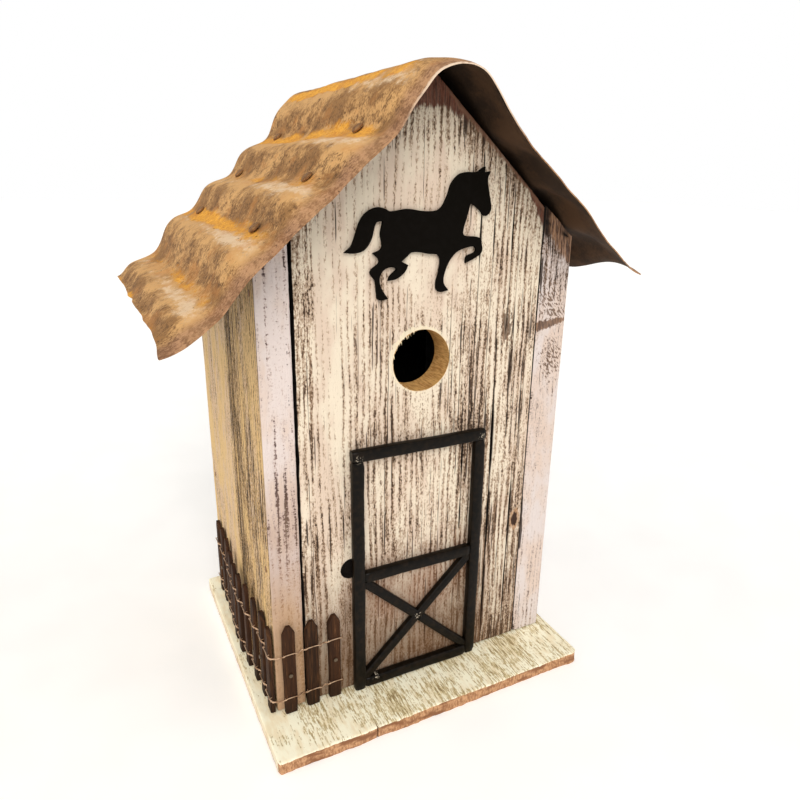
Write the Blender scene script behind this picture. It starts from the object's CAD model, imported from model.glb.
# %% [markdown]
# # A birdhouse of old barn boards
# This lesson dresses a birdhouse knocked together from fence boards: whitewash worn off the
# grain, a rusty sheet bent over the ridge, a painted barn door trim, a black horse and a small
# picket fence wired round one corner. The plain model from the CAD step fixes every size and
# place, so this script only makes better looking copies of its pieces and paints them. That
# model is in metres, and the lesson works in millimetres, because a maker would.

# %% The fixed frame
import math

import bmesh
import bpy
import numpy as np
from mathutils import Matrix, Vector


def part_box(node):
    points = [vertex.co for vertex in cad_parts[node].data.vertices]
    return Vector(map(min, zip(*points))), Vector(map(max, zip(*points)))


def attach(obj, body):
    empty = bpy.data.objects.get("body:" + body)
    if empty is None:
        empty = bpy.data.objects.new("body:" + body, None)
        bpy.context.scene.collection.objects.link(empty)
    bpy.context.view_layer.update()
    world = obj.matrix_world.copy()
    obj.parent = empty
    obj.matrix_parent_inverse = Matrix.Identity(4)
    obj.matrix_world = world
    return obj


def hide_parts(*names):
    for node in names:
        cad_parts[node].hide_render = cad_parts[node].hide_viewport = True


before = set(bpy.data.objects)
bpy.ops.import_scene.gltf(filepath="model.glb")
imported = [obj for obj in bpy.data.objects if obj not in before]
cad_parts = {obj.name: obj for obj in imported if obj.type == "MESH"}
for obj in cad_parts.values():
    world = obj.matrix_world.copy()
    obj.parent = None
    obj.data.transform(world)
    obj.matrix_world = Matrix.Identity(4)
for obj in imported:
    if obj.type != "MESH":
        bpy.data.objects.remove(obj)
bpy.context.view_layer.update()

MM = 0.001


def box_mm(node):
    return [np.array(corner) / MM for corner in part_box(node)]


def in_scene(name, data):
    made = bpy.data.objects.new(name, data)
    bpy.context.scene.collection.objects.link(made)
    return made


left_low, left_high = box_mm("left_side_board")
right_low, right_high = box_mm("right_side_board")
panel_low, panel_high = box_mm("front_panel")
rear_low, rear_high = box_mm("back_panel")
base_low, base_high = box_mm("base_board")
roof_low, roof_high = box_mm("roof_sheet")

MIDDLE = (left_low[0] + right_high[0]) / 2  # the ridge stands over this line
FRONT, BACK = panel_low[1], rear_high[1]
FLOOR = panel_low[2]
GABLE_SLOPE = 0.871  # how far the roof falls for each step away from the ridge
print("house", right_high[0] - left_low[0], "wide,", BACK - FRONT, "deep,", roof_high[2], "high")

# %% [markdown]
# The camera stands in front of the house, to its left and a little above the ridge, and looks
# down on it. Its bearing, its dip and a slight roll are turned into the three directions that
# Blender builds a camera's turn from.

# %% Camera
EYE = Vector((-144.74, -348.91, 284.0)) * MM
BEARING, DIP, ROLL = math.radians(28.03), math.radians(18.92), math.radians(1.37)
flat = Vector((math.sin(BEARING), math.cos(BEARING), 0))
forward = flat * math.cos(DIP) - Vector((0, 0, math.sin(DIP)))
level = Vector((math.cos(BEARING), -math.sin(BEARING), 0))
rising = level.cross(forward)
right_hand = level * math.cos(ROLL) + rising * math.sin(ROLL)
up_hand = rising * math.cos(ROLL) - level * math.sin(ROLL)

lens = bpy.data.cameras.new("camera")
lens.sensor_width = 36
lens.lens = 30.02
lens.shift_x, lens.shift_y = -0.0264, 0.0005
lens.clip_start = 0.01
camera = in_scene("camera", lens)
turn = Matrix((right_hand, up_hand, -forward)).transposed()
camera.matrix_world = Matrix.Translation(EYE) @ turn.to_4x4()
bpy.context.scene.camera = camera
bpy.context.scene.view_settings.view_transform = "Standard"
print("camera at", [round(v, 3) for v in camera.location])

# %% [markdown]
# Weathered things are uneven in a smooth way: a board swells and dips over centimetres, and its
# grain over tenths of a millimetre. `drift` gives such heights. It blends between the entries of
# a table of random numbers, seeded so that every run gives the same house.

# %% Smooth random heights
TABLE = 128


def drift(u, v, size_u, size_v, seed):
    """Heights from -1 to 1 that change over size_u one way and size_v the other."""
    table = np.random.default_rng(seed).uniform(-1, 1, (TABLE, TABLE))
    u, v = np.asarray(u, float) / size_u + 40, np.asarray(v, float) / size_v + 40
    iu, iv = np.floor(u).astype(int), np.floor(v).astype(int)
    fu, fv = u - iu, v - iv
    fu, fv = fu * fu * (3 - 2 * fu), fv * fv * (3 - 2 * fv)

    def row(iv):
        return table[iu % TABLE, iv % TABLE] * (1 - fu) + table[(iu + 1) % TABLE, iv % TABLE] * fu

    return row(iv) * (1 - fv) + row(iv + 1) * fv


def waver(u, size, seed):
    """The same along one line."""
    return drift(u, u * 0, size, 1, seed)


def ease(start, end, value):
    """0 before start, 1 after end and a smooth slope between them."""
    share = np.clip((np.asarray(value, float) - start) / (end - start), 0, 1)
    return share * share * (3 - 2 * share)


# %% [markdown]
# Shader nodes are easier to read as sums. `Shade` wraps a socket, so that `1 - mask` or
# `grain * 0.4 + knots` adds the Math nodes by itself, and its `node` method adds any other node
# from its type, its settings and what goes into its sockets. Colours are three numbers from 0 to
# 255, as on a paint chart. They are blended with Mix nodes, because Math would turn them grey.

# %% Materials as expressions
def srgb(red, green, blue):
    """A paint chart's colour in the linear light that shaders use."""
    linear = [c / 12.92 if c <= 0.04045 else ((c + 0.055) / 1.055) ** 2.4
              for c in (red / 255, green / 255, blue / 255)]
    return (*linear, 1.0)


def put(value, socket):
    if isinstance(value, Shade):
        value.tree.links.new(value.socket, socket)
    else:
        socket.default_value = srgb(*value) if isinstance(value, tuple) else value


def sum_of(operation):
    return lambda self, *others: self.node("ShaderNodeMath", {"operation": operation},
                                           dict(enumerate((self, *others))))


class Shade:
    def __init__(self, tree, socket):
        self.tree, self.socket = tree, socket

    def node(self, kind, settings=None, sockets=None, output=0):
        made = self.tree.nodes.new(kind)
        for key, value in (settings or {}).items():
            setattr(made, key, value)
        for key, value in (sockets or {}).items():
            put(value, made.inputs[key])
        return Shade(self.tree, made.outputs[output])

    __add__ = __radd__ = sum_of("ADD")
    __mul__ = __rmul__ = sum_of("MULTIPLY")
    __sub__, __truediv__ = sum_of("SUBTRACT"), sum_of("DIVIDE")
    smaller, size = sum_of("MINIMUM"), sum_of("ABSOLUTE")
    cosine, root = sum_of("COSINE"), sum_of("SQRT")

    def __rsub__(self, other):
        return self.node("ShaderNodeMath", {"operation": "SUBTRACT"}, {0: other, 1: self})

    def rise(self, start, end):
        """0 before start, 1 after end, smooth between; start may be the larger."""
        if start > end:
            return 1 - self.rise(end, start)
        settings = {"interpolation_type": "SMOOTHSTEP"}
        sockets = {0: self, 1: start, 2: end, 3: 0.0, 4: 1.0}
        return self.node("ShaderNodeMapRange", settings, sockets)


def noise(x, y, z, detail=2.0, roughness=0.55):
    """Random heights about 0, one step of x, y or z wide."""
    at = x.node("ShaderNodeCombineXYZ", None, {0: x, 1: y, 2: z})
    sockets = {"Vector": at, "Scale": 1.0, "Detail": detail, "Roughness": roughness}
    return x.node("ShaderNodeTexNoise", None, sockets) - 0.5


def mix(share, one, other):
    return share.node("ShaderNodeMix", {"data_type": "RGBA"}, {0: share, 6: one, 7: other}, 2)


def over(colour, *coats):
    """A colour with coats laid over it in turn, each a mask and a colour."""
    for mask, coat in coats:
        colour = mix(mask, colour, coat)
    return colour


def bump(height, reach, strength):
    sockets = {"Height": height, "Distance": reach * MM, "Strength": strength}
    return height.node("ShaderNodeBump", None, sockets)


class Finish:
    """A material being mixed. Its place is x, y and z on the object, in millimetres."""

    def __init__(self, name, shine=0.5):
        self.material = bpy.data.materials.new(name)
        self.material.use_nodes = True
        tree = self.material.node_tree
        self.shader = tree.nodes["Principled BSDF"]
        self.shader.inputs["Specular IOR Level"].default_value = shine
        at = Shade(tree, tree.nodes.new("ShaderNodeTexCoord").outputs["Object"])
        split = at.node("ShaderNodeSeparateXYZ", None, {0: at}).socket.node
        self.place = [Shade(tree, part) / MM for part in split.outputs]

    def surface(self, **sockets):
        for key, value in sockets.items():
            put(value, self.shader.inputs[key.replace("_", " ").title()])
        return self.material


# %% [markdown]
# The boards were limewashed long ago. The soft wood between the growth rings has worn away and
# taken the paint with it, which leaves thick cream on the ridges, a thin tan film in the hollows
# and bare wood in the deepest dashes. One height decides all three: rings, long thin lines, short
# beads and broad patches, added up with each board's own wear. The grain runs up every wall, so
# the distance across it is simply x plus y, of which one is fixed on each face.

# %% Whitewash
RING = 3.3  # from one growth ring to the next
CREAM, THIN = (230, 216, 194), (178, 153, 129)
BARE, DARK = (118, 92, 70), (64, 47, 36)
GRIME = (26, 19, 14)


def wash(name, cream, thin, sunk, wear, zones=None, coats=None, bare=BARE, dark=DARK):
    """sunk is the depth below the show faces, where joints and cracks go dark."""
    paint = Finish(name, shine=0.25)
    x, y, z = paint.place
    across = x + y

    def streak(width, length, layer, detail=2.0):
        return noise(across / width, z / length, layer, detail)

    bend = streak(45, 110, 2.5, 1.0) * 9 + streak(8, 90, 9.5, 1.0) * 3.5
    rings = ((across + bend) * (2 * math.pi / RING)).cosine() * 0.5
    rows = streak(20, 60, 5.5, 1.0).rise(-0.14, 0.1)
    lines, threads = streak(0.75, 9, 3.5), streak(1.2, 80, 7.5)
    beads, patches = streak(0.62, 1.25, 1.5, 3.0), streak(13, 36, 13.5, 3.0)
    if zones:
        wear = zones(x, y, z) + wear
    level = rings * rows * 0.28 + lines * 0.5 + threads * 0.4 + beads * 0.85 + patches * 0.5
    level = level + wear
    worn = level.rise(0.13, 0.21)

    wood = mix((lines + beads * 0.6 + patches * 0.4).rise(-0.02, 0.16), bare, dark)
    hair = (streak(0.95, 48, 41.5, 1.0) + patches * 0.3 + wear * 0.6).rise(0.175, 0.21)
    colour = over(cream, (patches.rise(-0.1, 0.12) * 0.7, (214, 189, 170)),
                  (level.rise(-0.03, 0.1) * 0.92, thin), (worn * 0.96, wood),
                  (hair * 0.9, (46, 33, 25)))
    if coats:
        colour = coats(x, y, z, colour)
    colour = mix(sunk(x, y, z).rise(0.5, 0.95), colour, GRIME)
    height = level * -2.4 - hair * 0.6 + beads * 0.3
    return paint.surface(base_color=colour, roughness=0.74 + worn * 0.18,
                         normal=bump(height, 0.25, 0.9))


def spot(x, z, at_x, at_z, half_x, half_z):
    """Distance from a spot, 1 on an ellipse round it."""
    away_x, away_z = (x - at_x) / half_x, (z - at_z) / half_z
    return (away_x * away_x + away_z * away_z).root()


# %% [markdown]
# The front panel's wear has its own map: paint kept under the horse, a scuffed gable and foot,
# dirt below the door, a scar, a knot and the pale torn rim of the entrance.

# %% Whitewash on the front
ENTRANCE = Vector((MIDDLE - 3.3, 0, 194.5))
ENTRANCE_R = 15.875


def front_zones(x, y, z):
    off = x - MIDDLE
    zones = z.rise(205, 245) * off.rise(40, 14) * -0.11
    zones += off.rise(-44, -50) * z.rise(100, 130) * z.rise(240, 215) * -0.1
    zones += x.rise(panel_low[0] + 13, panel_low[0] + 6) * (z.rise(130, 215) * 0.2 + 0.06)
    zones += (off.size() * GABLE_SLOPE + z).rise(300, 325) * 0.08 + z.rise(288, 303) * 0.17
    zones += z.rise(176, 160) * off.rise(-50, -44) * 0.04 + off.rise(6, 24) * 0.07
    zones += off.rise(50, 56) * z.rise(190, 175) * z.rise(110, 130) * -0.07
    return zones + z.rise(40, 10) * 0.08


def front_coats(x, y, z, colour):
    cloud = noise(x / 9, y / 9, z / 14, 3.0)
    fibres = noise(x / 0.9, y / 2, z / 12)
    chip = noise(x / 1.1, y / 1.1, z / 2.4)
    bored = noise(x / 0.8, y / 5, z / 0.8)
    off = x - MIDDLE
    peak = (z + off * off * 0.012 + cloud * 9 + fibres * 8).rise(310.5, 312.5)
    below_roof = off.size() * GABLE_SLOPE + z
    sawn = (below_roof + cloud * 5 + fibres * 4).rise(322.8, 324.0) * off.rise(4, 10)
    dirt = (z + cloud * 50 + fibres * 12).rise(112, 20) * (0.25 + off.rise(48, 34) * 0.55)
    warm = (z + cloud * 60).rise(98, 62) * spot(off, z, -6, 76, 40, 34).rise(1.1, 0.7)
    scar = (spot(off, z, 47, 208, 3.2, 8.5) + chip * 2.2 + fibres).rise(1.05, 0.85)
    reach_x, reach_z = x - ENTRANCE.x, z - ENTRANCE.z
    radius = spot(reach_x, reach_z, 0, 0, 1, 1)
    torn = (reach_z - reach_x * 0.7).rise(-4, 20)
    rim = (radius + chip * 6 - torn * 1.3).rise(ENTRANCE_R + 1.15, ENTRANCE_R + 0.5)
    inside = radius.rise(ENTRANCE_R + 0.14, ENTRANCE_R + 0.06)
    knot = spot(off, z, 61.5, 90, 3.0, 6.4) + chip * 0.8
    return over(colour,
                (peak * 0.95, mix(fibres.rise(-0.1, 0.14), (128, 80, 62), (78, 48, 38))),
                (sawn * 0.8, (142, 104, 82)), (dirt, (100, 70, 44)), (warm * 0.3, (136, 86, 58)),
                (scar * 0.85, mix(fibres.rise(-0.1, 0.1), (134, 104, 80), (74, 54, 40))),
                (rim * 0.9, (232, 218, 190)),
                (inside, mix(bored.rise(-0.16, 0.2), (220, 176, 110), (176, 128, 72))),
                (knot.rise(1.25, 1.0) * 0.7, (176, 136, 100)),
                (knot.rise(0.85, 0.6), (58, 38, 26)))


def below_face(x, y, z):
    """How deep a point lies, but nothing inside the entrance, whose wall is fresh wood."""
    return (y - FRONT) * spot(x, z, ENTRANCE.x, ENTRANCE.z, ENTRANCE_R, ENTRANCE_R).rise(1.0, 1.02)


front_wash = wash("whitewash_front", CREAM, THIN, below_face, -0.02, front_zones, front_coats)

# %% [markdown]
# The left side is yellower, with one dark band of bare wood down its middle. The front edges of
# both side boards are greyer and cleaner, and the right one is chipped, gashed and torn on top.

# %% Whitewash on the sides and back
def left_zones(x, y, z):
    back = y - FRONT
    band = back.rise(74, 60) * 0.05 + back.rise(26, 60) * back.rise(74, 62) * 0.1
    return band + back.rise(60, 78) * -0.08 + z.rise(205, 240) * 0.03


def left_edge_zones(x, y, z):
    rows = (x * (2 * math.pi / 4.1) + 0.7).cosine() * 0.1
    marks = noise(x / 1.5, z / 0.9, 4.5) * 0.7
    clean = x.rise(left_low[0] + 4.5, left_low[0] + 2.5) * -0.16
    return rows + marks + clean + z.rise(150, 110) * 0.05


def left_edge_coats(x, y, z, colour):
    cloud = noise(x / 7, y / 9, z / 16, 3.0)
    return over(colour, ((z + cloud * 60).rise(165, 96) * 0.45, (160, 128, 108)),
                ((z + cloud * 40).rise(110, 50) * 0.68, (178, 138, 92)))


def right_edge_zones(x, y, z):
    inner = x.rise(right_low[0] + 6, right_low[0] + 1) * 0.06
    return z.rise(216, 234) * 0.2 + z.rise(40, 10) * 0.1 + inner


def right_edge_coats(x, y, z, colour):
    inward = x - right_low[0]
    cloud = noise(x / 6, y / 9, z / 8, 3.0)
    splits = noise(x / 0.9, y / 0.9, z / 9, 3.0)
    chip = noise(x / 1.3, y / 1.3, z / 1.0, 3.0)
    torn = (z + (x - MIDDLE) * GABLE_SLOPE + cloud * 16 + splits * 10).rise(311, 316)
    gash = 2.8 - inward * 0.08 - (z - 206 - inward * 0.16).size() + chip * 4 + splits * 3
    strokes = noise((x * 0.8 + z * 0.6) / 0.9, y, (z * 0.8 - x * 0.6) / 2.4)
    marks = 0.0
    for at_x, at_z, half_x, half_z in ((7.5, 221, 7.5, 8.5), (10, 213, 9, 3), (12, 186, 7.5, 10.5)):
        away = spot(inward, z, at_x, at_z, half_x, half_z)
        marks = (strokes - away * away * 0.09).rise(-0.03, 0.02) + marks
    return over(colour,
                (torn * 0.9, mix(splits.rise(-0.08, 0.1), (178, 136, 104), (84, 56, 40))),
                (gash.rise(-0.4, 0.4) * 0.92,
                 mix(splits.rise(-0.06, 0.08), (138, 104, 78), (80, 56, 42))),
                (marks.smaller(1) * 0.88, (106, 82, 64)))


left_wash = wash("whitewash_left", (222, 188, 132), (190, 152, 98),
                 lambda x, y, z: (x - left_low[0]).smaller(left_high[1] - y), 0.01, left_zones,
                 bare=(112, 86, 50), dark=(66, 50, 28))
left_edge_wash = wash("whitewash_left_edge", (222, 208, 202), (196, 176, 168),
                      lambda x, y, z: y - FRONT, -0.06, left_edge_zones, left_edge_coats,
                      bare=(108, 86, 80), dark=(72, 56, 54))
right_edge_wash = wash("whitewash_right_edge", (216, 204, 199), (184, 166, 156),
                       lambda x, y, z: y - FRONT, -0.09, right_edge_zones, right_edge_coats)
right_wash = wash("whitewash_right", (224, 208, 192), (186, 160, 140),
                  lambda x, y, z: (right_high[0] - x).smaller(right_high[1] - y), -0.06)
plain_wash = wash("whitewash_back", CREAM, THIN, lambda x, y, z: BACK - y, 0.0)
cover_wash = wash("whitewash_cover", CREAM, THIN, lambda x, y, z: x * 0, 0.02)
print("seven mixes of whitewash")

# %% [markdown]
# A sawn board is a box with soft edges. `plank` lays a fine grid over its show face, drops rings
# of points down its edges, rounds the arris and closes the far side. Where the grid dips, the
# wood has worn between its growth rings or opened in a drying crack. A crack gets four grid
# columns of its own, so that it stays a millimetre wide however coarse the rest is.

# %% Boards
CRACK_LIPS = np.array((-1.0, -0.45, 0.45, 1.0))
SWAY = 0.5  # how far the grain wanders sideways


def columns_for(start, end, step, cracks):
    """Grid lines across a board, finer where a crack runs."""
    lines = np.linspace(start, end, int((end - start) / step) + 1)
    for middle, _, _, half, _ in cracks:
        inner = (lines > start) & (lines < end)
        lines = lines[~(inner & (np.abs(lines - middle) < half * 1.6))]
        lines = np.concatenate([lines, middle + half * CRACK_LIPS])
    return np.sort(lines)


def grid_faces(number):
    """The squares between numbered points in columns and rows."""
    squares = np.stack([number[:-1, :-1], number[1:, :-1], number[1:, 1:], number[:-1, 1:]], -1)
    return squares.reshape(-1, 4)


def rim_of(number):
    """The numbers once round the outside of the grid."""
    return np.concatenate([number[:, 0], number[-1, 1:], number[-2::-1, -1], number[0, -2:0:-1]])


def tube_faces(stations, sides):
    """The walls between rings of points, and a lid at each end."""
    number = np.arange(stations * sides).reshape(stations, sides)
    around = np.roll(number, -1, 1)
    walls = np.stack([number[:-1], number[1:], around[1:], around[:-1]], -1)
    return walls.reshape(-1, 4).tolist() + [number[0].tolist(), number[-1, ::-1].tolist()]


def new_mesh(name, points, faces, sharp=38):
    """A mesh from millimetre points, closed, with its faces turned outward."""
    mesh = bpy.data.meshes.new(name)
    mesh.from_pydata((np.asarray(points) * MM).tolist(), [], [tuple(f) for f in faces])
    shape = bmesh.new()
    shape.from_mesh(mesh)
    bmesh.ops.recalc_face_normals(shape, faces=shape.faces)
    shape.to_mesh(mesh)
    shape.free()
    return soften(mesh, sharp)


def soften(mesh, sharp):
    """Shade a mesh smooth, except at edges that turn more than sharp degrees."""
    mesh.shade_smooth()
    mesh.set_sharp_from_angle(angle=math.radians(sharp))
    return mesh


def worn_face(u, w, cracks, seed):
    """How far the face has sunk below the sawn board, in millimetres."""
    depth = 0.06 + 0.16 * (1 + drift(u, w, 1.3, 55, seed)) * 0.5
    depth += 0.16 * (1 + drift(u, w, 24, 60, seed + 1)) * 0.5
    depth += 0.12 * np.maximum(0, drift(u, w, 3.1, 9, seed + 2))
    for middle, low, high, half, deep in cracks:
        length = ease(low, low + 14, w) * ease(high, high - 14, w)
        torn = 0.72 + 0.28 * waver(w, 6, seed + int(middle * 7) % 50)
        depth += (np.abs(u - middle) < half * 0.7) * deep * length * torn
    return depth


def plank(name, columns, floor, top, thick, rows, to_room, cracks=(), seed=1, arris=0.8, steps=5,
          edge=None):
    """A board, its grain along w; to_room turns across, along and into the wood to x, y, z."""
    columns = np.asarray(columns, float)
    u = columns[:, None] + np.zeros(rows)
    w = floor + np.linspace(0, 1, rows) * (top(columns)[:, None] - floor)
    depth = worn_face(u, w, cracks, seed)

    width = columns[-1] - columns[0]
    from_edge = np.minimum(u - columns[0], columns[-1] - u)
    bend = SWAY * drift(u, w, 60, 48, seed + 5) * ease(0, 8, from_edge)
    for middle, _, _, half, _ in cracks:
        gape = 0.75 + 0.45 * waver(w, 17, seed + 9)
        bend += (np.abs(u - middle) < half * 1.1) * (u - middle) * (gape - 1)
    tight_u = columns[0] + arris + (u - columns[0]) * (1 - 2 * arris / width) + bend
    tight_w = floor + arris + (w - floor) * (1 - 2 * arris / (top(columns)[:, None] - floor))
    points = [np.stack([tight_u, tight_w, depth], -1).reshape(-1, 3)]

    number = np.arange(u.size).reshape(u.shape)
    faces = grid_faces(number).tolist()
    rim = rim_of(number)
    ring = points[0][rim]
    way = (np.roll(ring, -1, 0) - np.roll(ring, 1, 0))[:, :2]
    way /= np.linalg.norm(way, axis=1)[:, None]
    outward = np.stack([way[:, 1], -way[:, 0]], -1)

    levels = [(arris * 0.3, arris * 0.7), (arris, arris)]
    levels += [(thick * k / steps, arris) for k in range(1, steps)]
    levels += [(thick - arris, arris), (thick, arris * 0.3)]
    last, total = rim, u.size
    for into, out in levels:
        u, w = ring[:, 0], ring[:, 1]
        rough = 0.14 * drift(u + w, u * 0 + into, 1.6, 4, seed + 3) - 0.14
        if edge:
            rough = rough + edge(u, w, into)
        spread = ring[:, :2] + outward * (out + rough * min(1, into / arris))[:, None]
        sunk = into + ring[:, 2] * max(0, 1 - into / (3 * arris))
        points.append(np.column_stack([spread, sunk]))
        ids = np.arange(total, total + len(rim))
        total += len(rim)
        faces += np.stack([last, ids, np.roll(ids, -1), np.roll(last, -1)], -1).tolist()
        last = ids
    faces.append(last[::-1].tolist())
    return new_mesh(name, np.column_stack(to_room(*np.concatenate(points).T)), faces)


def add_piece(name, mesh, finish, stands_for=(), body="house"):
    piece = in_scene(name, mesh)
    if finish:
        mesh.materials.append(finish)
    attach(piece, body)
    if stands_for:
        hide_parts(*stands_for)
    return piece


def two_finishes(mesh, first, second, takes_second):
    """The first finish all over, and the second on the faces that takes_second picks."""
    mesh.materials.append(first)
    mesh.materials.append(second)
    for face in mesh.polygons:
        face.material_index = int(takes_second(face))


def shape_of(holder):
    """The finished mesh of an object that was only needed to make it."""
    view = bpy.context.evaluated_depsgraph_get()
    mesh = bpy.data.meshes.new_from_object(holder.evaluated_get(view))
    bpy.data.objects.remove(holder)
    return mesh


def carve(mesh, tools, operation="DIFFERENCE", sharp=38):
    """The mesh with each tool mesh cut out of it, or kept only inside it."""
    block = in_scene("block", mesh)
    knives = [in_scene("knife", tool) for tool in tools]
    for knife in knives:
        cut = block.modifiers.new("cut", "BOOLEAN")
        cut.object, cut.operation, cut.solver = knife, operation, "EXACT"
    carved = shape_of(block)
    for knife in knives:
        bpy.data.objects.remove(knife)
    return soften(carved, sharp)


def prism(name, one_end, other_end):
    """A closed solid between two outlines with equally many corners."""
    count = len(one_end)
    walls = [(i, (i + 1) % count, count + (i + 1) % count, count + i) for i in range(count)]
    lids = [list(range(count)), list(range(2 * count - 1, count - 1, -1))]
    return new_mesh(name, [*one_end, *other_end], walls + lids)


def drill(x, y, z, radius, length, sides=96, jag=None):
    """A round bit along y with its middle at x, y, z."""
    angle = np.linspace(0, 2 * math.pi, sides, endpoint=False)
    reach = radius + (jag(angle) if jag else 0 * angle)
    ends = [np.column_stack([x + reach * np.cos(angle), y + side * length + 0 * angle,
                             z + reach * np.sin(angle)]) for side in (-0.5, 0.5)]
    return prism("bit", *ends)


# %% [markdown]
# The front panel is the piece that everybody looks at. Long drying cracks run down its right
# half, the entrance is a plain 1 1/4 inch hole, and a blind hole for a bolt hides behind the
# door. Cutting the holes with a Boolean keeps their edges crisp in the worn face.

# %% Front panel
BOLT_X, BOLT_Z, BOLT_R, BOLT_DEPTH = MIDDLE - 42.5, 85, 6, 6
# each crack: place from the middle, from, to, half its width, depth
FRONT_CRACKS = [(MIDDLE + place, *rest) for place, *rest in (
    (13.4, 158, 236, 0.5, 1.5), (20.0, 150, 230, 0.55, 1.6), (28.2, 152, 300, 0.7, 2.2),
    (36.2, 160, 276, 0.55, 1.7), (42.4, 10, 206, 0.9, 3.2), (47.4, 200, 286, 0.65, 2.2),
    (51.8, 138, 256, 0.5, 1.6), (57.6, 10, 132, 0.75, 2.8), (61.6, 150, 240, 0.55, 1.7),
    (33.0, 60, 140, 0.55, 1.7), (-37.5, 170, 250, 0.36, 0.8), (-19, 110, 150, 0.36, 0.9),
    (23.5, 88, 150, 0.65, 2.2), (3, 20, 70, 0.45, 1.4))]


def gable(peak):
    return lambda across: peak - GABLE_SLOPE * np.abs(across - MIDDLE)


def narrowing_joint(u, w, into):
    waves = drift(w, w * 0 + into, 9, 20, 19)
    return (u < panel_low[0] + 1) * (0.6 * ease(210, 90, w) - 0.3 + 0.3 * waves)


def rim_teeth(angle):
    torn = ease(1.45, 1.9, angle) * ease(3.6, 3.1, angle)
    return -0.55 * torn * np.maximum(0, waver(angle, 0.09, 77))


columns = np.append(columns_for(panel_low[0], panel_high[0], 0.95, FRONT_CRACKS), MIDDLE)
front_mesh = plank("front_board", np.sort(columns), FLOOR, gable(panel_high[2]),
                   panel_high[1] - FRONT, 150, lambda u, w, into: (u, FRONT + into, w),
                   FRONT_CRACKS, seed=11, edge=narrowing_joint)
entrance_bit = drill(ENTRANCE.x, FRONT, ENTRANCE.z, ENTRANCE_R, 60, 144, rim_teeth)
bolt_bit = drill(BOLT_X, FRONT, BOLT_Z, BOLT_R, 2 * BOLT_DEPTH, 40)
front_mesh = carve(front_mesh, [entrance_bit, bolt_bit])
add_piece("front_board", front_mesh, front_wash, ["front_panel"])
print("front board", len(front_mesh.polygons), "faces")

# %% [markdown]
# The two sides and the back are the same kind of board, stood another way round. A side board
# starts from its show face, so one rule places both: the left one runs back to front and the
# right one front to back. Their front edges are part of the face that you see.

# %% Sides and back
EDGE_DEPTH = 1.2  # faces this close to the front wear the edge's finish
CLEANOUT_Z, CLEANOUT_R, PILOT_R = 66, 25, 2.6


def even(height):
    return lambda across: np.zeros_like(across) + height


def side_board(name, node, inward, cracks, seed, steps, finishes, edge=None):
    """A side board with its show face at low x (inward 1) or at high x (inward -1)."""
    low, high = box_mm(node)
    thick = high[0] - low[0]

    def to_room(u, w, into):
        """The top follows the roof, so its inner arris stands higher than its outer one."""
        drop = GABLE_SLOPE * thick * (1 - np.clip(into / thick, 0, 1))
        z = w - ease(high[2] - 20, high[2], w) * drop
        if inward > 0:
            return low[0] + into, high[1] - u, z
        return high[0] - into, low[1] + u, z

    mesh = plank(name, columns_for(0, high[1] - low[1], 1.15, cracks), FLOOR, even(high[2]), thick,
                 110, to_room, cracks, seed, steps=steps, edge=edge)
    two_finishes(mesh, *finishes, lambda face: face.center.y / MM < FRONT + EDGE_DEPTH)
    add_piece(name, mesh, None, [node])
    return mesh


def torn_top(u, w, into):
    near_top = ease(right_high[2] - 26, right_high[2] - 12, w)
    return near_top * (0.5 * drift(u, u * 0 + into, 2.2, 3.5, 91) - 0.5)


LEFT_CRACKS = [(22.0, 80, 236, 0.3, 1.2), (58.0, 30, 190, 0.26, 1.0), (104.0, 60, 250, 0.3, 1.3)]
RIGHT_CRACKS = [(30.0, 20, 180, 0.3, 1.2), (77.0, 90, 255, 0.35, 1.5), (118.0, 8, 90, 0.3, 1.0)]
BACK_CRACKS = [(MIDDLE - 30, 20, 240, 0.35, 1.6), (MIDDLE + 25, 130, 300, 0.3, 1.4),
               (MIDDLE + 52, 10, 150, 0.3, 1.2)]
left_mesh = side_board("left_side", "left_side_board", 1, LEFT_CRACKS, 31, 9,
                       (left_wash, left_edge_wash))
right_mesh = side_board("right_side", "right_side_board", -1, RIGHT_CRACKS, 47, 11,
                        (right_wash, right_edge_wash), torn_top)

screw_low, screw_high = box_mm("cleanout_pivot_screw")
PIVOT = (screw_low + screw_high) / 2
columns = np.append(columns_for(rear_low[0], rear_high[0], 1.3, BACK_CRACKS), MIDDLE)
back_mesh = plank("back_board", np.sort(columns), FLOOR, gable(rear_high[2]), BACK - rear_low[1],
                  110, lambda u, w, into: (u, BACK - into, w), BACK_CRACKS, seed=63)
cleanout_bit = drill(MIDDLE, BACK, CLEANOUT_Z, CLEANOUT_R, 60)
pilot_bit = drill(PIVOT[0], BACK, PIVOT[2], PILOT_R, 40, 32)
back_mesh = carve(back_mesh, [cleanout_bit, pilot_bit])
add_piece("back_board", back_mesh, plain_wash, ["back_panel"])
print("sides and back", [len(m.polygons) for m in (left_mesh, right_mesh, back_mesh)], "faces")

# %% [markdown]
# The clean-out cover is an offcut of the same fence board. It hangs on one screw, so it can be
# swung aside to empty the box after the nesting season, and it rides on its own body.

# %% Clean-out cover
SCREW_HOLE_R = 2.35
cover_low, cover_high = box_mm("cleanout_cover")
columns = np.linspace(cover_low[0], cover_high[0], 60)
cover_mesh = plank("cover_board", columns, cover_low[2], even(cover_high[2]),
                   cover_high[1] - cover_low[1], 60,
                   lambda u, w, into: (u, cover_high[1] - into, w), seed=71, arris=1.0)
screw_bit = drill(PIVOT[0], cover_high[1], PIVOT[2], SCREW_HOLE_R, 40, 32)
cover_mesh = carve(cover_mesh, [screw_bit])
add_piece("cover_board", cover_mesh, cover_wash, ["cleanout_cover"], body="cover")
print("cover", len(cover_mesh.polygons), "faces")

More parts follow.
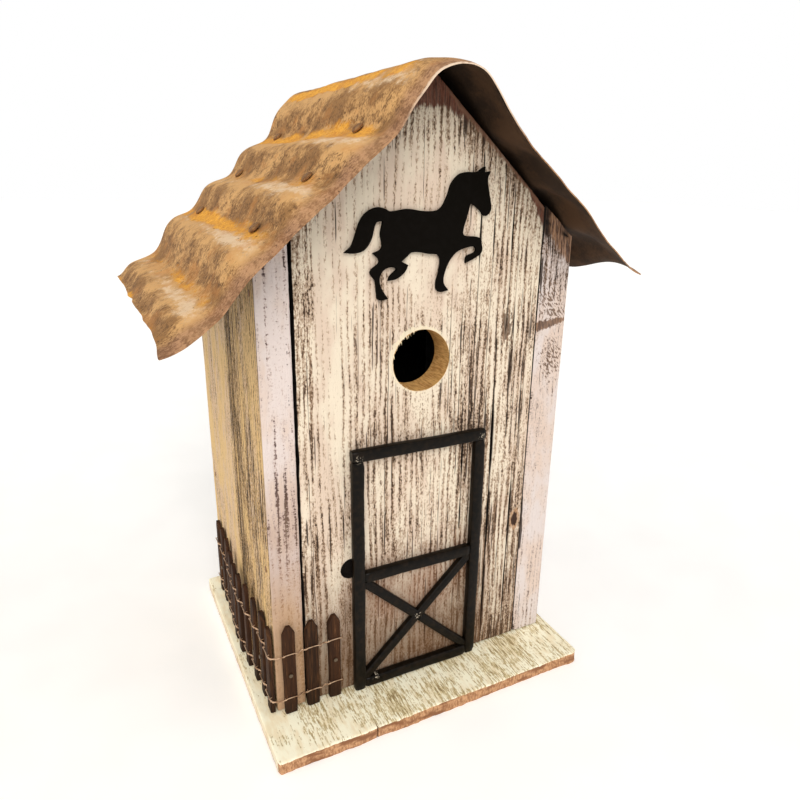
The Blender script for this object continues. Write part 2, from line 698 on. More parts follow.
# %% [markdown]
# The base is a thinner board with its grain running from front to back, so the front edge is raw
# end grain. Its cream paint has worn to a greenish tan in streaks, its corners are rubbed round,
# and it has split in from the front edge under the door's left post.

# %% Base board
ROUND_CORNER, SHARP_CORNER = 3.6, 1.5
SPLIT = MIDDLE - 41.7
SPLIT_TIP = base_low[1] + 11


def uneven_edge(u, w, into):
    waves = 0.45 * drift(u, u * 0 + into, 14, 9, 81) + 0.2 * drift(u, u * 0 + into, 2, 2, 82)
    return (w < base_low[1] + 2) * (waves - 0.45)


def rounded_corners(x, y, into):
    for side_x in (base_low[0], base_high[0]):
        for side_y in (base_low[1], base_high[1]):
            corner = ROUND_CORNER if side_x > MIDDLE and side_y < 0 else SHARP_CORNER
            centre_x = side_x + math.copysign(corner, MIDDLE - side_x)
            centre_y = side_y + math.copysign(corner, -side_y)
            away_x, away_y = x - centre_x, y - centre_y
            inside = (away_x * (side_x - centre_x) > 0) & (away_y * (side_y - centre_y) > 0)
            square = np.maximum(np.abs(away_x), np.abs(away_y))
            shrink = np.where(inside, square / np.maximum(np.hypot(away_x, away_y), 1e-6), 1)
            x, y = centre_x + away_x * shrink, centre_y + away_y * shrink
    return x, y, base_high[2] - into


def split_wedge(height):
    """The outline of a wedge that opens towards the front edge, at one height."""
    outline = (0, 0), (0.3, -7.15), (0.7, -13), (-0.5, -13), (-0.1, -6.5)
    return [(SPLIT + x, SPLIT_TIP + y, height) for x, y in outline]


def base_finish():
    paint = Finish("base_paint", shine=0.25)
    x, y, z = paint.place
    dashes = noise(x / 0.75, y / 5.5, z / 6)
    streaks = noise(x / 1.7, y / 24, 5.5)
    patches = noise(x / 15, y / 17, 9.5)
    beads = noise(x / 0.8, y / 1.5, z / 6, 3.0)
    trodden = x.rise(MIDDLE - 82, MIDDLE - 62) * 0.12 - 0.125
    front_lip = y.rise(base_low[1] + 12, base_low[1] + 3) * -0.07
    left_lip = x.rise(MIDDLE - 74, MIDDLE - 88) * -0.06
    level = beads * 0.5 + dashes * 0.8 + streaks * 0.6 + patches * 0.6
    level = level + trodden + (front_lip + left_lip)
    worn = level.rise(-0.06, 0.08)
    ends = noise(x / 0.9, y / 2, z / 2.2, 3.0)
    raw = over((198, 152, 112), (ends.rise(-0.12, 0.14), (152, 108, 74)),
               (noise(x / 12, y / 5, z / 4).rise(-0.02, 0.16), (134, 90, 60)))
    chips = noise(x / 1.8, y / 1.8, z / 1.2)
    below = (z + chips * 1.2).rise(base_high[2] - 0.85, base_high[2] - 1.25)
    sides = (y + chips * 2).rise(base_low[1] + 2.6, base_low[1] + 3.4) * z.rise(0.6, 1.6)
    colour = over((255, 250, 224),
                  (noise(x / 4, y / 12, 2.5).rise(-0.1, 0.2), (244, 230, 196)),
                  (worn * 0.95, mix(dashes.rise(-0.1, 0.15), (222, 206, 162), (190, 170, 126))),
                  (level.rise(0.12, 0.24) * 0.8, (142, 120, 80)),
                  (below * (1 - sides * 0.7), raw))
    height = (1 - worn) * 0.5 + dashes * 0.3 + ends * 0.25
    return paint.surface(base_color=colour, roughness=0.74 + worn * 0.18,
                         normal=bump(height, 0.22, 0.8))


base_mesh = plank("ground_board", np.linspace(base_low[0], base_high[0], 150), base_low[1],
                  even(base_high[1]), base_high[2] - base_low[2], 140, rounded_corners, seed=83,
                  arris=0.7, steps=6, edge=uneven_edge)
base_mesh = carve(base_mesh, [prism("wedge", split_wedge(-2), split_wedge(base_high[2] + 2))])
add_piece("ground_board", base_mesh, base_finish(), ["base_board"])
print("base", len(base_mesh.polygons), "faces")

# %% [markdown]
# The roof is one old corrugated sheet, bent over the ridge by hand. Beside the ridge it is a
# smooth hump, lower down its waves run from front to back, and its front edge was hammered
# nearly flat, so the waves die away there. The same rule as the CAD's places every point, with a
# finer grid, small dents and a ragged edge. It has two skins 0.6 mm apart and a rim between them.

# %% Roof sheet
SHEET = 0.6
WAVE_PITCH, FIRST_VALLEY = 31.75, 14.0
DEPTH_LEFT, DEPTH_RIGHT = 4.2, 3.2  # the right slope was flattened more
SHEET_LEFT, SHEET_RIGHT = -130.0, 110.0
FLAT_BAND = 22.0
SLOPE_LENGTH = math.hypot(1, GABLE_SLOPE)


def on_roof(x, y, out):
    """Where a point of the flat sheet goes: x from the ridge line, y from the front edge."""
    across = np.abs(x)
    flat = 332.5 - GABLE_SLOPE * across
    hump = 331 - across * across / 60
    spine = hump + (flat - hump) * np.where(x < 0, ease(12, 34, across), ease(6, 28, across))
    turn = 2 * math.pi * (across * SLOPE_LENGTH - FIRST_VALLEY) / WAVE_PITCH
    fade = ease(14, 30, across) * (0.12 + 0.88 * ease(0, FLAT_BAND, y))
    wave = -np.cos(turn) * np.where(x < 0, DEPTH_LEFT, DEPTH_RIGHT) / 2 * fade
    left_wing = -4.5 * ease(87, 108, across) + 6.5 * np.maximum(0, (across - 112) / 18) ** 2
    right_wing = (5.5 - 8.5 * ease(12, 60, y)) * np.maximum(0, (across - 88) / 22) ** 2
    droop = 5.5 * np.maximum(0, (28 - y) / 28) ** 1.6
    lean = GABLE_SLOPE * np.clip(x / 14, -1, 1)
    reach = (wave + out) / np.hypot(1, lean)
    return x + lean * reach, spine + np.where(x < 0, left_wing, right_wing) - droop + reach


def sheet_mesh():
    """The sheet, and how many of its faces look down."""
    columns, rows = 210, 120
    long = roof_high[1] - roof_low[1]
    x = np.linspace(SHEET_LEFT, SHEET_RIGHT, columns)[:, None] + np.zeros(rows)
    y = np.linspace(0, long, rows) + np.zeros((columns, 1))
    front, back = ease(9, 0, y), ease(long - 7, long, y)
    ragged_y = front * (0.7 + 0.7 * waver(x, 9, 101)) - back * (0.5 + 0.5 * waver(x, 6, 102))
    ends = ease(SHEET_LEFT + 8, SHEET_LEFT, x) - ease(SHEET_RIGHT - 8, SHEET_RIGHT, x)
    ragged_x = ends * (0.7 + 0.7 * waver(y, 11, 103))
    calm = 1 - ease(SHEET_RIGHT - 14, SHEET_RIGHT, x) * 0.8
    dents = 0.5 * drift(x, y, 17, 24, 104) + 0.22 * drift(x, y, 5, 7, 105) * calm
    edge_curl = front * (0.7 * waver(x, 13, 106) - 0.3)
    skins = []
    for side in (-0.5, 0.5):
        px, pz = on_roof(x + ragged_x, y, side * SHEET + dents + edge_curl - 0.25)
        skins.append(np.stack([MIDDLE + px, roof_low[1] + y + ragged_y, pz], -1).reshape(-1, 3))
    number = np.arange(columns * rows).reshape(columns, rows)
    under = grid_faces(number)[:, [0, 3, 2, 1]]
    over = under[:, ::-1] + number.size
    rim = rim_of(number)
    step = np.roll(rim, -1)
    side = np.stack([rim, step, step + number.size, rim + number.size], -1)
    faces = np.concatenate([under, over, side]).tolist()
    return new_mesh("rusty_sheet", np.concatenate(skins), faces, 60), len(under)


def rust(name, under=False):
    sheet = Finish(name, shine=0.25)
    x, y, z = sheet.place
    across = (x - MIDDLE).size()
    turn = (across * SLOPE_LENGTH - FIRST_VALLEY) * (2 * math.pi / WAVE_PITCH)
    far = across.rise(12, 24)
    valley = (turn - 0.35).cosine() * 0.5 * far + 0.5
    cloud = noise(x / 21, y / 30, z / 21, 4.0, 0.6)
    blotch = noise(x / 6, y / 9, z / 6, 4.0, 0.7)
    grit = noise(x / 1.6, y / 0.9, z / 1.6, 3.0, 0.75)
    if under:
        dark = mix((cloud + grit * 0.4).rise(-0.1, 0.2), (50, 36, 25), (82, 59, 40))
        return sheet.surface(base_color=dark, roughness=0.85, metallic=0.05,
                             normal=bump(grit, 0.2, 0.6))
    front = y - roof_low[1]
    streaky = noise(x / 4.5, y / 8, z / 4.5, 4.0, 0.7)
    rubbed = noise(x / 12, y / 26, z / 12 + 40)
    # the side of each wave that looks up at the sky is paler, and the side that looks out darker
    sky_side = (turn - 1.8).cosine() * 0.5 * far
    brown = (cloud + blotch * 0.6 + grit * 0.7 - sky_side * 0.2).rise(-0.12, 0.16)
    umber = (blotch * 0.6 + grit * 1.0 - sky_side * 0.18).rise(0.08, 0.22)
    pale = sky_side * 0.5 + streaky * 0.9 + cloud * 0.5 + grit * 0.7 + front.rise(125, 50) * 0.2
    pale = pale.rise(0.26, 0.5) * front.rise(9, 20)
    # the second and the fourth hollow, and one beside the ridge, hold the brightest rust
    rich = ((across - 34.5) * (2 * math.pi / 47.9)).cosine() * 0.1
    ridge_band = across.rise(9, 14) * across.rise(25, 18) * x.rise(MIDDLE + 1, MIDDLE - 2)
    orange = valley * 0.75 + ridge_band * 0.5 + rich + rubbed * 0.9 + blotch * 0.5 + grit * 0.7
    orange = orange.rise(0.62, 0.8) * front.rise(13, 28)
    warm = noise(x / 9, y / 13, z / 9 + 70, 4.0) + valley * 0.12 + grit * 0.4
    band = (front + cloud * 12 + grit * 4).rise(14, 5)
    lip = (front + grit * 2).rise(2.0, 1.0) * across.rise(34, 14)
    spots = noise(x / 1.9, y / 2.3, z / 1.9 + 11, 2.0, 0.5).rise(0.19, 0.24) * valley.rise(0.3, 0.7)
    colour = over((212, 166, 108), (brown, (150, 110, 66)), (umber * 0.8, (84, 56, 33)),
                  (pale * 0.85, (236, 208, 172)),
                  (orange * 0.92,
                   mix((grit + streaky * 0.4).rise(-0.08, 0.14), (242, 180, 68), (200, 130, 46))),
                  (warm.rise(0.06, 0.26) * 0.5, (196, 134, 70)),
                  (band * 0.8,
                   mix((streaky + grit * 0.8).rise(-0.14, 0.14), (176, 134, 102), (124, 88, 64))),
                  (lip * 0.8, (236, 214, 190)), (spots * 0.85, (56, 40, 26)))
    height = grit * 0.7 + blotch * 0.8 + orange * 0.3 - spots * 0.6
    return sheet.surface(base_color=colour, metallic=0.1, normal=bump(height, 0.4, 0.8),
                         roughness=0.66 + orange * 0.2 + grit * 0.3 - pale * 0.1)


roof_mesh, under_count = sheet_mesh()
two_finishes(roof_mesh, rust("rust_above"), rust("rust_below", under=True),
             lambda face: face.index < under_count)
add_piece("rusty_sheet", roof_mesh, None, ["roof_sheet"])
print("roof sheet", len(roof_mesh.polygons), "faces")

# %% [markdown]
# The barn door is only a trim: quarter-inch rods painted black and pinned to the panel. The
# paint is satin, and it is chipped to the pale wood where two rods meet.

# %% Black paint
CHIP_REACH = 3.2


def chips_near(x, z, corners):
    mask = 0.0
    speck = noise(x / 0.8, 3.5, z / 0.8, 3.0, 0.65)
    for corner_x, corner_z in corners:
        near = spot(x, z, corner_x, corner_z, 1, 1).rise(CHIP_REACH, CHIP_REACH * 0.4)
        mask = near * (speck + near * 0.05).rise(0.13, 0.19) + mask
    return mask


def black_paint(name, corners=(), gloss=0.36, shine=0.12, rubbed=(26, 18, 10)):
    paint = Finish(name, shine)
    x, y, z = paint.place
    brushed = noise(x / 3, y / 3, z / 3, 3.0)
    fine = noise(x / 0.6, y / 0.6, z / 0.6)
    colour = mix((brushed + fine * 0.3).rise(-0.1, 0.2), (10, 7, 4), rubbed)
    rough = gloss + brushed * 0.3
    height = brushed * 0.5 + fine * 0.3
    if corners:
        chipped = chips_near(x, z, corners)
        colour = mix(chipped, colour, (214, 200, 178))
        rough = rough + chipped * 0.3
        height = height - chipped * 0.6
    return paint.surface(base_color=colour, roughness=rough, normal=bump(height, 0.15, 0.5))


# %% [markdown]
# `batten` sweeps a rounded section between two points, makes it a little uneven and rounds its
# ends. The sloping braces must end flush against the frame, so they are made too long and a
# Boolean keeps only what lies inside the bay. One brace is whole and the other is in two halves.

# %% Barn door trim
def batten(start, end, width, proud, back, seed, tapered=True):
    """A rounded rod laid on the panel from start to end (x, z), its back at y = back."""
    sides, stations = 20, 46
    start, end = np.array(start, float), np.array(end, float)
    long = math.dist(start, end)
    along = (end - start) / long
    angle = np.linspace(0, 2 * math.pi, sides, endpoint=False)
    round_x = np.sign(np.cos(angle)) * np.abs(np.cos(angle)) ** 0.5
    round_y = np.sign(np.sin(angle)) * np.abs(np.sin(angle)) ** 0.5
    points = []
    for at in np.linspace(0, long, stations):
        tip = 1 - 0.16 * (1 - ease(0, 1.2, min(at, long - at))) if tapered else 1
        uneven = 0.03 * waver(at, 13, seed) + 0.02 * drift(at, angle, 3, 0.8, seed + 1)
        swell = (1 - uneven) * tip
        off = round_x * width / 2 * swell + 0.2 * waver(at, 24, seed + 2)
        out = (1 + round_y) / 2 * proud * swell
        x, z = start + along * at
        points.append(np.column_stack([x - along[1] * off, back - out, z + along[0] * off]))
    return new_mesh("batten", np.concatenate(points), tube_faces(stations, sides), 50)


top_low, top_high = box_mm("door_top_rail")
stile_low, stile_high = box_mm("door_left_stile")
brace_low, brace_high = box_mm("door_brace_rising")
RAIL = top_high[2] - top_low[2]
BAR_BACK, BAR_PROUD = top_high[1], top_high[1] - top_low[1]
crossing = (brace_low + brace_high)[[0, 2]] / 2
chip_corners = [(top_low[0] + 3, top_low[2] + 2), (top_high[0] - 3, top_high[2] - 4), crossing,
                (stile_high[0] + 6, box_mm("door_bottom_rail")[1][2])]
door_black = black_paint("door_black", chip_corners)


def add_trim(node, mesh):
    add_piece(node.replace("door_", "trim_"), mesh, door_black, [node])


rails = ("door_top_rail", 0.0), ("door_middle_rail", 0.35), ("door_bottom_rail", 0.35)
for number, (node, spread) in enumerate(rails):
    low, high = box_mm(node)
    z = (low[2] + high[2]) / 2
    add_trim(node, batten((low[0] - spread, z), (high[0] + spread, z), RAIL, BAR_PROUD, BAR_BACK,
                          200 + 7 * number))
for number, node in enumerate(("door_left_stile", "door_right_stile")):
    low, high = box_mm(node)
    x = (low[0] + high[0]) / 2
    add_trim(node, batten((x, low[2]), (x, high[2] + 0.35), high[0] - low[0], BAR_PROUD, BAR_BACK,
                          230 + 7 * number))


def bay_end(y):
    (x0, _, z0), (x1, _, z1) = brace_low - 0.3, brace_high + 0.3
    return [(x0, y, z0), (x1, y, z0), (x1, y, z1), (x0, y, z1)]


BRACE, BRACE_PROUD = 5.2, brace_high[1] - brace_low[1]
SPARE, HALF_GAP = 6, 2.4  # how much too long a brace is, and how far a half stops from the crossing
bottom_left, top_right = brace_low[[0, 2]], brace_high[[0, 2]]
top_left = np.array([brace_low[0], brace_high[2]])
bottom_right = np.array([brace_high[0], brace_low[2]])
for node, start, end, before, after, share, seed in (
        ("door_brace_rising", bottom_left, top_right, SPARE, SPARE, 1.0, 251),
        ("door_brace_falling_upper", top_left, crossing, SPARE, -HALF_GAP, 0.97, 261),
        ("door_brace_falling_lower", crossing, bottom_right, -HALF_GAP, SPARE, 0.97, 271)):
    way = (end - start) / math.dist(start, end)
    mesh = batten(start - way * before, end + way * after, BRACE, BRACE_PROUD * share, BAR_BACK,
                  seed, tapered=False)
    bay = prism("bay", bay_end(BAR_BACK - 20), bay_end(BAR_BACK + 20))
    add_trim(node, carve(mesh, [bay], "INTERSECT", 50))
print("eight battens")

# %% [markdown]
# The horse was cut from thin plate and painted. Its outline comes from the CAD piece: the edges
# where the front face meets the sides, put in order. A gentle spline rounds the bends, and the
# tips of the ears, the tail and the hooves stay sharp. A small bevel softens the cut edge.

# %% Horse
SHARP_TURN = 88
BEVEL = 0.18


def front_outline(node):
    """The corners of a flat CAD piece's front face in order, as (x, z) in millimetres."""
    shape = bmesh.new()
    shape.from_mesh(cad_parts[node].data)
    bmesh.ops.remove_doubles(shape, verts=shape.verts, dist=1e-6)
    near = min(v.co.y for v in shape.verts) + 1e-5
    front = [face for face in shape.faces if all(v.co.y < near for v in face.verts)]
    whole = bmesh.ops.dissolve_faces(shape, faces=front)["region"][0]
    outline = [(v.co.x / MM, v.co.z / MM) for v in whole.verts]
    shape.free()
    return np.array(outline)


def rounded(outline, steps=5):
    """The outline with its gentle bends drawn as curves, and its sharp tips kept."""
    ahead, behind = np.roll(outline, -1, 0) - outline, outline - np.roll(outline, 1, 0)
    turned = behind[:, 0] * ahead[:, 1] - behind[:, 1] * ahead[:, 0]
    bend = np.abs(np.degrees(np.arctan2(turned, (behind * ahead).sum(1))))
    slope = (ahead + behind) / 2
    smooth = []
    for i in range(len(outline)):
        j = (i + 1) % len(outline)
        gap = outline[j] - outline[i]
        out, into = (slope[k] if bend[k] <= SHARP_TURN else gap for k in (i, j))
        out, into = (v / max(np.hypot(*v), 1e-6) * np.hypot(*gap) for v in (out, into))
        for t in np.arange(steps) / steps:
            a, b = 2 * t**3 - 3 * t**2 + 1, t**3 - 2 * t**2 + t
            c, d = 3 * t**2 - 2 * t**3, t**3 - t**2
            smooth.append(a * outline[i] + b * out + c * outline[j] + d * into)
    return smooth


def plate(name, outline, y_front, y_back):
    """A flat plate cut along an (x, z) outline with its edges bevelled."""
    curve = bpy.data.curves.new(name, "CURVE")
    curve.dimensions, curve.fill_mode = "2D", "BOTH"
    line = curve.splines.new("POLY")
    line.points.add(len(outline) - 1)
    for point, (x, z) in zip(line.points, outline):
        point.co = (x * MM, z * MM, 0, 1)
    line.use_cyclic_u = True
    curve.extrude = ((y_back - y_front) / 2 - BEVEL) * MM
    curve.bevel_depth, curve.bevel_resolution = BEVEL * MM, 2
    curve.offset = -BEVEL * MM
    mesh = shape_of(in_scene(name, curve))
    mesh.transform(Matrix.Rotation(math.radians(90), 4, "X"))
    mesh.transform(Matrix.Translation((0, (y_front + y_back) / 2 * MM, 0)))
    return soften(mesh, 30)


horse_low, horse_high = box_mm("horse_silhouette")
horse_mesh = plate("horse", rounded(front_outline("horse_silhouette")), horse_low[1], horse_high[1])
horse_black = black_paint("horse_black", gloss=0.6, shine=0.04, rubbed=(14, 11, 8))
add_piece("horse", horse_mesh, horse_black, ["horse_silhouette"])
print("horse", len(horse_mesh.polygons), "faces")

# %% [markdown]
# The pickets are split from thin stained wood, seven millimetres wide, with two cuts for the
# point. Each is a small grid bent into a closed strip: its long edges are rounded, its face
# follows the grain, and no two are quite alike. They stand on their feet just clear of the wall.

# %% Pickets
SHOULDER = 4.6  # the height of a picket's point
# the section, across from -1 to 1 and into the wood from 0 to 1
SECTION = np.array([(-1, 0.5), (-0.97, 0.22), (-0.86, 0.02), (-0.5, 0), (-0.15, 0), (0.2, 0),
                    (0.55, 0), (0.87, 0.02), (0.97, 0.2), (1, 0.5), (1, 1), (-1, 1)])


def picket_mesh(node, on_front, seed):
    low, high = box_mm(node)
    wide, thick, height = (high - low)[[0, 1, 2] if on_front else [1, 0, 2]]
    tip = 1.3 + 0.3 * waver(seed, 1, 7)
    rows, point_rows = 34, 6
    side, into_wood = SECTION.T
    outside = into_wood < 0.3
    points = []
    for row in range(rows):
        above = row - (rows - 1 - point_rows)
        z = (height - SHOULDER) * min(1, row / (rows - 1 - point_rows))
        z += SHOULDER * max(0, above / point_rows)
        half = wide / 2 - (wide / 2 - tip) * max(0, (z - height + SHOULDER) / SHOULDER)
        half -= 0.12 * (1 + drift(z, seed, 6, 1, seed))
        grain = 0.16 * (1 + drift(side, z, 0.33, 14, seed + 1)) + 0.25 * row / (rows - 1)
        rounding = {0: 0.25, rows - 1: -0.25}.get(row, 0)
        points.append(np.stack([side * half + 0.12 * waver(z, 17, seed + 2),
                                into_wood * thick + grain * outside,
                                z + rounding * np.abs(side)], -1))
    across, into, up = np.concatenate(points).T
    centre = (low + high) / 2
    if on_front:
        where = [centre[0] + across, low[1] + into, low[2] + up]
    else:
        where = [low[0] + into, centre[1] - across, low[2] + up]
    return new_mesh(node, np.column_stack(where), tube_faces(rows, len(SECTION)), 42)


def picket_stain():
    stain = Finish("picket_stain", shine=0.15)
    x, y, z = stain.place
    across = x + y
    fibres = noise(across / 0.45, z / 11, 3.5, 3.0)
    rings = noise(across / 1.6, z / 34, 8.5)
    each = noise(across / 9, 5.5, 2.5, 0.0)
    foot = (z + rings * 26).rise(22, 11)
    worn = (fibres + rings * 0.5).rise(0.16, 0.24)
    colour = over((38, 22, 11), ((fibres + rings * 0.7).rise(-0.12, 0.16), (70, 44, 24)),
                  (each.rise(-0.1, 0.16) * 0.5, (58, 33, 18)), (foot * 0.6, (34, 21, 12)),
                  (worn * 0.5, (128, 88, 56)))
    return stain.surface(base_color=colour, roughness=0.72 + fibres * 0.3,
                         normal=bump(fibres + rings, 0.25, 0.9))


FRONT_RUN = [f"picket_front_{n}" for n in (1, 2, 3)]
SIDE_RUN = [f"picket_side_{n}" for n in range(1, 11)]
stain = picket_stain()
for number, node in enumerate(FRONT_RUN + SIDE_RUN):
    mesh = picket_mesh(node, node in FRONT_RUN, 300 + 5 * number)
    add_piece(node.replace("picket", "stake"), mesh, stain, [node])
print("thirteen pickets")

# %% [markdown]
# Two pairs of thin copper wire hold the run together. One strand passes over each picket and one
# behind it, and between pickets they are twisted round each other. The twist pulls in towards
# the wall, so from above the wire seems to dip between the pickets.

# %% Fence wire
STRAND = 0.27
TWIST_LENGTH = 3.4  # along the wire, for one full twist
BEHIND_PICKET, OFF_WALL = 3.1, 0.05
UP = np.array((0, 0, 1))
# across a picket in half widths, how much it rises, and how twisted it is there
OVER_PICKET = ((-1.12, 0, 0.5), (-0.6, 0.4, 0), (0.6, 0.4, 0), (1.12, 0, 0.5))


def unit(ways):
    return ways / np.linalg.norm(ways, axis=1)[:, None]


def tube(route, radius, sides=8):
    """The points of a round wire along a list of close points."""
    ahead = unit(np.gradient(route, axis=0))
    side = unit(np.cross(ahead, UP))
    up = np.cross(side, ahead)
    angle = np.linspace(0, 2 * math.pi, sides, endpoint=False)[None, :, None]
    rings = route[:, None] + radius * (np.cos(angle) * side[:, None] + np.sin(angle) * up[:, None])
    return rings.reshape(-1, 3), tube_faces(len(route), sides)


def spline(stops, steps):
    """A smooth path through stops, with steps points to each."""
    stops = np.array(stops, float)
    padded = np.concatenate([2 * stops[:1] - stops[1:2], stops, 2 * stops[-1:] - stops[-2:-1]])
    path = []
    for a, b, c, d in zip(padded, padded[1:], padded[2:], padded[3:]):
        for t in np.arange(steps) / steps:
            path.append(0.5 * (2 * b + (c - a) * t + (2 * a - 5 * b + 4 * c - d) * t**2
                               + (3 * b - a - 3 * c + d) * t**3))
    return np.array(path + [stops[-1]])


def wire_stops(height):
    """Where the wire passes: (x, y, z, twist), with twist 1 halfway between two pickets."""
    stops = []
    for run, on_front in ((FRONT_RUN, True), (SIDE_RUN, False)):
        flat, deep, step = (0, 1, -1) if on_front else (1, 0, 1)
        boxes = [box_mm(node) for node in run]
        for number, (low, high) in enumerate(boxes):
            middle, half = (low[flat] + high[flat]) / 2, (high[flat] - low[flat]) / 2
            lay = [(middle + step * share * half, low[deep] - STRAND - 0.1, height + rise, twist)
                   for share, rise, twist in OVER_PICKET]
            if number + 1 < len(boxes):
                next_low, next_high = boxes[number + 1]
                between = (middle + (next_low[flat] + next_high[flat]) / 2) / 2
                lay.append((between, (low[deep] + next_low[deep]) / 2 + 1.5, height - 0.9, 1))
            stops += [(a, b, h, t) if on_front else (b, a, h, t) for a, b, h, t in lay]
        if on_front:
            stops.append((left_low[0] - 2.6, FRONT - 2.6, height - 0.3, 1))
    return stops


def wire_mesh(height):
    path = spline(wire_stops(height), 9)
    middle, twist = path[:, :3], np.clip(path[:, 3], 0, 1)
    steps = np.linalg.norm(np.diff(middle, axis=0), axis=1)
    phase = np.cumsum(np.concatenate([[0], steps]))[:, None] * (2 * math.pi / TWIST_LENGTH)
    aside = np.cross(unit(np.gradient(middle, axis=0)), UP)
    swing = (STRAND * ease(0.25, 0.75, twist))[:, None]
    coil = swing * (np.cos(phase) * aside + np.sin(phase) * UP)
    # the second strand slips behind each picket, just off the wall
    to_wall = np.where(middle[:, :1] > left_low[0] - 1, (0, 1, 0), (1, 0, 0))
    behind = (ease(0.5, 0.0, twist) * BEHIND_PICKET)[:, None] * to_wall
    over, over_faces = tube(middle + coil, STRAND)
    under, under_faces = tube(middle - coil + behind, STRAND * 0.8)
    x, y, z = np.concatenate([over, under]).T
    y = np.where(x > left_low[0], np.minimum(y, FRONT - OFF_WALL), y)
    x = np.where(y > FRONT, np.minimum(x, left_low[0] - OFF_WALL), x)
    faces = over_faces + [[i + len(over) for i in face] for face in under_faces]
    return new_mesh("wire", np.column_stack([x, y, z]), faces, 60)


def copper():
    wire = Finish("copper")
    x, y, z = wire.place
    tarnish = noise(x / 3, y / 3, z / 1.5, 3.0)
    colour = mix(tarnish.rise(-0.08, 0.14), (208, 176, 146), (150, 116, 88))
    return wire.surface(base_color=colour, metallic=0.7, roughness=0.4 + tarnish * 0.4,
                        normal=bump(tarnish, 0.1, 0.4))


copper_wire = copper()
for node, height in (("fence_wire_upper", 46.0), ("fence_wire_lower", 18.4)):
    name = node.replace("fence_", "copper_")
    add_piece(name, wire_mesh(height), copper_wire, [node])
print("two pairs of wire")

# %% [markdown]
# The bit tore the wood where it left the grain unsupported, at the upper left of the entrance.
# The splinters are thin three-sided spikes that hang down from the rim, longer where the tear
# was worst, all from one seeded list of random numbers.

# %% Splinters
SPLINTERS = 46


def splinters():
    dice = np.random.default_rng(5)
    points, faces = [], []
    for _ in range(SPLINTERS):
        angle = dice.uniform(1.75, 3.35) if dice.random() < 0.8 else dice.uniform(3.5, 4.9)
        torn = float(ease(1.7, 2.1, angle) * ease(3.5, 3.0, angle))
        long = dice.uniform(0.5, 1.2) + torn * dice.uniform(0.2, 2.0)
        out_x, out_z = ((ENTRANCE_R + 0.35) * turn for turn in (math.cos(angle), math.sin(angle)))
        root = np.array([ENTRANCE.x + out_x, FRONT + dice.uniform(0.1, 0.8), ENTRANCE.z + out_z])
        down = -math.copysign(1, math.sin(angle))
        way = np.array([dice.uniform(-0.1, 0.45), dice.uniform(-0.12, 0.2), down])
        wide = dice.uniform(0.18, 0.42)
        tip = root + way / np.linalg.norm(way) * long
        start = len(points)
        points += [root + (wide, 0, 0), root + (-wide, 0, 0.1), root + (0, wide * 1.3, 0), tip]
        faces += [[start + corner for corner in side] for side in
                  ((0, 1, 3), (1, 2, 3), (2, 0, 3), (2, 1, 0))]
    return new_mesh("splinters", points, faces, 20)


def raw_wood():
    wood = Finish("raw_wood")
    x, y, z = wood.place
    fibres = noise(x / 0.4, y / 0.4, z / 4)
    colour = mix(fibres.rise(-0.1, 0.15), (248, 232, 196), (222, 192, 146))
    return wood.surface(base_color=colour, roughness=0.85 + fibres * 0.2,
                        normal=bump(fibres, 0.1, 0.5))


splinter_mesh = splinters()
add_piece("hole_splinters", splinter_mesh, raw_wood())
print("splinters", len(splinter_mesh.polygons), "faces")

# %% [markdown]
# Nails and screws keep their CAD shapes: they are turned parts and already right. They only need
# metal that has been outdoors. The nails are as rusty as the sheet, and the brads and the screws
# are dull steel with a few brown spots.

# %% Nails and screws
def old_steel(name, clean, rusty, share):
    metal = Finish(name)
    x, y, z = metal.place
    spots = noise(x / 1.6, y / 1.6, z / 1.6, 3.0, 0.65)
    fine = noise(x / 0.4, y / 0.4, z / 0.4)
    rust_here = (spots + fine * 0.3).rise(0.14 - share, 0.24 - share)
    colour = mix(rust_here, clean, rusty)
    return metal.surface(base_color=colour, metallic=0.6 - rust_here * 0.45,
                         roughness=0.5 + rust_here * 0.35,
                         normal=bump(spots + fine * 0.5, 0.15, 0.6))


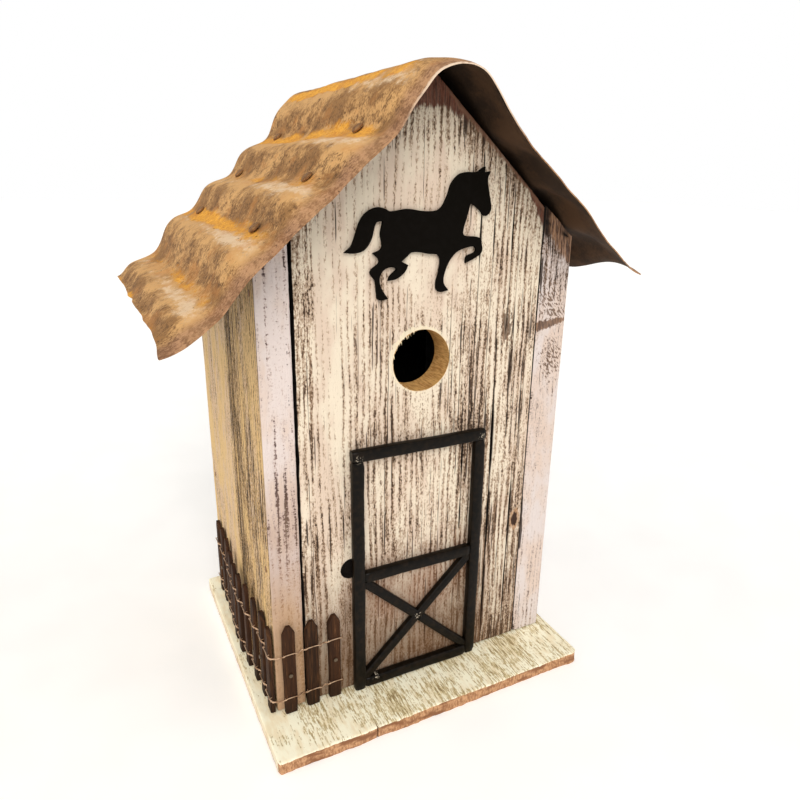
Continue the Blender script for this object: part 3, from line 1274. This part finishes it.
dull_steel = old_steel("dull_steel", (104, 90, 74), (76, 54, 37), 0.08)
nail_rust = old_steel("nail_rust", (152, 112, 70), (116, 80, 46), 0.16)
for kinds, metal in ((("roof_nail", "wall_nail"), nail_rust),
                     (("base_screw", "fence_brad", "cleanout_pivot"), dull_steel)):
    nodes = [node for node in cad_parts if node.startswith(kinds)]
    for node in nodes:
        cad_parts[node].data.materials.clear()
        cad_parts[node].data.materials.append(metal)
    print(len(nodes), "of", kinds)

# %% [markdown]
# The house stands on a plain white sweep under a white sky. One broad warm lamp stands in front
# on the left, a weaker one fills the right side, a third warms the left wall, and the sky does
# the rest, so the shadows are soft.

# %% Floor and light
def floor_mesh(size=6000, cells=24):
    line = np.linspace(-size, size, cells)
    points = [(x * MM, y * MM, -0.02 * MM) for x in line for y in line]
    mesh = bpy.data.meshes.new("floor")
    number = np.arange(cells * cells).reshape(cells, cells)
    mesh.from_pydata(points, [], grid_faces(number).tolist())
    return mesh


paper = Finish("paper")
x, y, z = paper.place
paper.shader.inputs["Emission Color"].default_value = (1, 1, 1, 1)
paper.shader.inputs["Emission Strength"].default_value = 0.14
clouds = noise(x / 40, y / 40, 1.0).rise(-0.2, 0.2)
paper.surface(base_color=mix(clouds, (250, 250, 249), (246, 246, 245)), roughness=0.95)
floor = in_scene("floor", floor_mesh())
floor.data.materials.append(paper.material)


def sun(name, towards, softness, strength, colour):
    """A broad light from the direction towards, as wide as softness in degrees."""
    light = bpy.data.lights.new(name, "SUN")
    light.angle, light.energy, light.color = math.radians(softness), strength, colour
    in_scene(name, light).rotation_euler = Vector(towards).to_track_quat("Z", "Y").to_euler()


sun("key", (-0.28, -0.74, 0.62), 38, 2.05, (1.0, 0.97, 0.93))
sun("fill", (0.75, -0.5, 0.5), 60, 0.5, (1.0, 0.98, 0.97))
sun("left", (-0.85, 0.1, 0.5), 60, 0.7, (1.0, 0.9, 0.76))
sky = bpy.data.worlds.new("sky")
sky.use_nodes = True
sky_nodes, sky_links = sky.node_tree.nodes, sky.node_tree.links
backdrop = sky_nodes["Background"]
backdrop.inputs["Color"].default_value = (1, 1, 1, 1)
ray = sky_nodes.new("ShaderNodeLightPath")
brightness = sky_nodes.new("ShaderNodeMapRange")
brightness.inputs["To Min"].default_value = 0.42
sky_links.new(ray.outputs["Is Camera Ray"], brightness.inputs["Value"])
sky_links.new(brightness.outputs["Result"], backdrop.inputs["Strength"])
bpy.context.scene.world = sky
